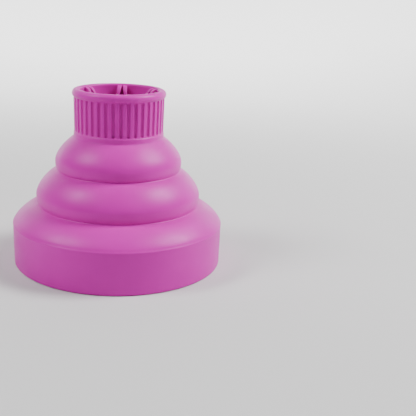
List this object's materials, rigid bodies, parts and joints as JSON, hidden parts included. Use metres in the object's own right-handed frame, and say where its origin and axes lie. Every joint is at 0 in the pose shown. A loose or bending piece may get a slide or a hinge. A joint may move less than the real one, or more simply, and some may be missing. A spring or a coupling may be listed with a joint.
{
  "type": "dryer diffuser",
  "caption": "Collapsible silicone hair dryer diffuser: fluted nozzle collar with grip fins, stepped bell that folds flat by turning its webs inside out, perforated finger plate.",
  "frame": {"origin": "centre of the wide rim, on the surface it stands on", "axes": "+Z along the bell's axis from the wide rim up to the nozzle collar; a pair of grip fins lies on -Y"},
  "size_m": [0.15, 0.15, 0.1243],
  "materials": {
    "silicone": "matte",
    "nylon": "matte"
  },
  "bodies": {
    "base": {"base_skirt": "silicone", "diffuser_plate": "nylon", "diffuser_fingers": "nylon", "lower_web": "silicone"},
    "lower_tier": {"lower_ring": "silicone", "middle_web": "silicone"},
    "upper_tier": {"upper_ring": "silicone", "upper_web": "silicone"},
    "collar": {"collar_sleeve": "silicone", "collar_bead": "silicone"},
    "fin_1": {"grip_fin_1": "silicone"},
    "fin_2": {"grip_fin_2": "silicone"},
    "fin_3": {"grip_fin_3": "silicone"},
    "fin_4": {"grip_fin_4": "silicone"},
    "fin_5": {"grip_fin_5": "silicone"},
    "fin_6": {"grip_fin_6": "silicone"},
    "fin_7": {"grip_fin_7": "silicone"},
    "fin_8": {"grip_fin_8": "silicone"},
    "fin_9": {"grip_fin_9": "silicone"},
    "fin_10": {"grip_fin_10": "silicone"},
    "fin_11": {"grip_fin_11": "silicone"},
    "fin_12": {"grip_fin_12": "silicone"}
  },
  "joints": [
    {"name": "lower_fold", "type": "slide", "parent": "base", "child": "lower_tier", "axis": [0, 0, -1], "range_m": [0, 0.0153], "deforming": ["lower_web"]},
    {"name": "middle_fold", "type": "slide", "parent": "lower_tier", "child": "upper_tier", "axis": [0, 0, -1], "range_m": [0, 0.0245], "deforming": ["middle_web"]},
    {"name": "collar_fold", "type": "slide", "parent": "upper_tier", "child": "collar", "axis": [0, 0, -1], "range_m": [0, 0.0302], "deforming": ["upper_web"]},
    {"name": "fin_1_bend", "type": "hinge", "parent": "collar", "child": "fin_1", "pos_m": [0.00195, -0.0262, 0.1], "axis": [0, 0, -1], "range_deg": [0, 75], "stiffness_Nm_per_rad": 0.003},
    {"name": "fin_2_bend", "type": "hinge", "parent": "collar", "child": "fin_2", "pos_m": [-0.00195, -0.0262, 0.1], "axis": [0, 0, 1], "range_deg": [0, 75], "stiffness_Nm_per_rad": 0.003},
    {"name": "fin_3_bend", "type": "hinge", "parent": "collar", "child": "fin_3", "pos_m": [0.02366, -0.01141, 0.1], "axis": [0, 0, -1], "range_deg": [0, 75], "stiffness_Nm_per_rad": 0.003},
    {"name": "fin_4_bend", "type": "hinge", "parent": "collar", "child": "fin_4", "pos_m": [0.02171, -0.01479, 0.1], "axis": [0, 0, 1], "range_deg": [0, 75], "stiffness_Nm_per_rad": 0.003},
    {"name": "fin_5_bend", "type": "hinge", "parent": "collar", "child": "fin_5", "pos_m": [0.02171, 0.01479, 0.1], "axis": [0, 0, -1], "range_deg": [0, 75], "stiffness_Nm_per_rad": 0.003},
    {"name": "fin_6_bend", "type": "hinge", "parent": "collar", "child": "fin_6", "pos_m": [0.02366, 0.01141, 0.1], "axis": [0, 0, 1], "range_deg": [0, 75], "stiffness_Nm_per_rad": 0.003},
    {"name": "fin_7_bend", "type": "hinge", "parent": "collar", "child": "fin_7", "pos_m": [-0.00195, 0.0262, 0.1], "axis": [0, 0, -1], "range_deg": [0, 75], "stiffness_Nm_per_rad": 0.003},
    {"name": "fin_8_bend", "type": "hinge", "parent": "collar", "child": "fin_8", "pos_m": [0.00195, 0.0262, 0.1], "axis": [0, 0, 1], "range_deg": [0, 75], "stiffness_Nm_per_rad": 0.003},
    {"name": "fin_9_bend", "type": "hinge", "parent": "collar", "child": "fin_9", "pos_m": [-0.02366, 0.01141, 0.1], "axis": [0, 0, -1], "range_deg": [0, 75], "stiffness_Nm_per_rad": 0.003},
    {"name": "fin_10_bend", "type": "hinge", "parent": "collar", "child": "fin_10", "pos_m": [-0.02171, 0.01479, 0.1], "axis": [0, 0, 1], "range_deg": [0, 75], "stiffness_Nm_per_rad": 0.003},
    {"name": "fin_11_bend", "type": "hinge", "parent": "collar", "child": "fin_11", "pos_m": [-0.02171, -0.01479, 0.1], "axis": [0, 0, -1], "range_deg": [0, 75], "stiffness_Nm_per_rad": 0.003},
    {"name": "fin_12_bend", "type": "hinge", "parent": "collar", "child": "fin_12", "pos_m": [-0.02366, -0.01141, 0.1], "axis": [0, 0, 1], "range_deg": [0, 75], "stiffness_Nm_per_rad": 0.003}
  ],
  "couplings": [
    {"joint": "fin_2_bend", "follows": "fin_1_bend", "ratio": 1},
    {"joint": "fin_3_bend", "follows": "fin_1_bend", "ratio": 1},
    {"joint": "fin_4_bend", "follows": "fin_1_bend", "ratio": 1},
    {"joint": "fin_5_bend", "follows": "fin_1_bend", "ratio": 1},
    {"joint": "fin_6_bend", "follows": "fin_1_bend", "ratio": 1},
    {"joint": "fin_7_bend", "follows": "fin_1_bend", "ratio": 1},
    {"joint": "fin_8_bend", "follows": "fin_1_bend", "ratio": 1},
    {"joint": "fin_9_bend", "follows": "fin_1_bend", "ratio": 1},
    {"joint": "fin_10_bend", "follows": "fin_1_bend", "ratio": 1},
    {"joint": "fin_11_bend", "follows": "fin_1_bend", "ratio": 1},
    {"joint": "fin_12_bend", "follows": "fin_1_bend", "ratio": 1}
  ]
}
